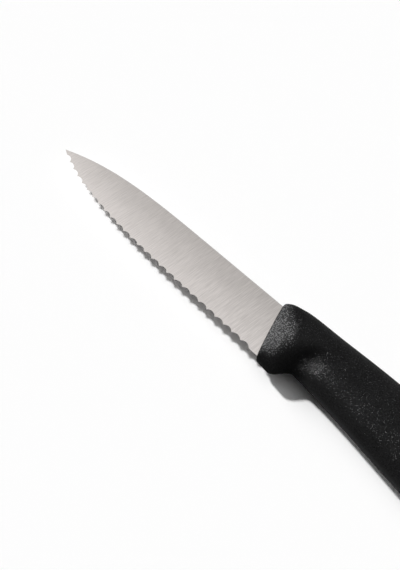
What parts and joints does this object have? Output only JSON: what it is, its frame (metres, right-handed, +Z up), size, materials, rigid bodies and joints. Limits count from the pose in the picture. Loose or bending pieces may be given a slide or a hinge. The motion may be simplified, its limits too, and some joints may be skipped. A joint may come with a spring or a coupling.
{
  "type": "serrated paring knife",
  "caption": "Small fixed-blade kitchen knife with a wavy serrated edge and a black moulded handle with a finger guard, lying on its side.",
  "frame": {"origin": "middle of the knife's footprint, on the surface that its handle lies on", "axes": "+X from the point of the blade to the butt of the handle, +Y from the cutting edge to the spine, +Z up out of the left face of the blade"},
  "size_m": [0.2068, 0.0254, 0.0136],
  "materials": {
    "steel": "satin, with fine grinding lines across the blade",
    "black_plastic": "matt black with a fine moulded grain"
  },
  "bodies": {
    "root": {"blade": "steel", "handle": "black_plastic"}
  },
  "joints": []
}
